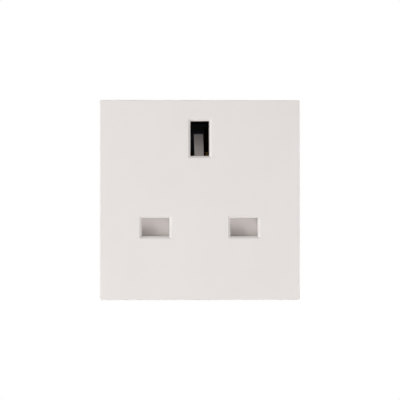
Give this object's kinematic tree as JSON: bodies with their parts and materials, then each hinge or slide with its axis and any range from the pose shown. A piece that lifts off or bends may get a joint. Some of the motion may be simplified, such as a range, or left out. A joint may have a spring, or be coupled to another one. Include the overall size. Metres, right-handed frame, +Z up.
{
  "type": "socket outlet module",
  "caption": "Square white shuttered wall socket module for a British plug, with a snap-in skirt and a black rear housing with screw terminals.",
  "frame": {"origin": "middle of the front face, where a plug comes to rest", "axes": "+X to the right of someone facing the socket, +Y into the wall, +Z up towards the earth aperture"},
  "size_m": [0.05, 0.029, 0.05],
  "materials": {
    "white_polycarbonate": "fine spark-eroded moulding",
    "black_nylon": "moulded",
    "brass": "rolled and turned",
    "zinc_plated_steel": "zinc plated",
    "spring_steel": "drawn wire and rolled strip"
  },
  "bodies": {
    "module": {"front_plate": "white_polycarbonate", "shutter_spring": "spring_steel", "contact_cover": "black_nylon", "rear_housing": "black_nylon", "line_contact": "brass", "neutral_contact": "brass", "earth_contact": "brass", "line_grip_spring": "spring_steel", "neutral_grip_spring": "spring_steel", "earth_grip_spring": "spring_steel", "line_terminal": "brass", "neutral_terminal": "brass", "earth_terminal": "brass", "housing_screws": "zinc_plated_steel"},
    "shutter": {"shutter": "white_polycarbonate"},
    "line_screw": {"line_terminal_screw": "brass"},
    "neutral_screw": {"neutral_terminal_screw": "brass"},
    "earth_screw": {"earth_terminal_screw": "brass"}
  },
  "joints": [
    {"name": "shutter_slide", "type": "slide", "parent": "module", "child": "shutter", "axis": [0, 0, -1], "range_m": [0, 0.0055], "stiffness_N_per_m": 200, "springref_m": -0.004, "deforming": ["shutter_spring"]},
    {"name": "line_screw_travel", "type": "slide", "parent": "module", "child": "line_screw", "axis": [0, -1, 0], "range_m": [0, 0.004]},
    {"name": "neutral_screw_travel", "type": "slide", "parent": "module", "child": "neutral_screw", "axis": [0, -1, 0], "range_m": [0, 0.004]},
    {"name": "earth_screw_travel", "type": "slide", "parent": "module", "child": "earth_screw", "axis": [0, -1, 0], "range_m": [0, 0.004]}
  ]
}
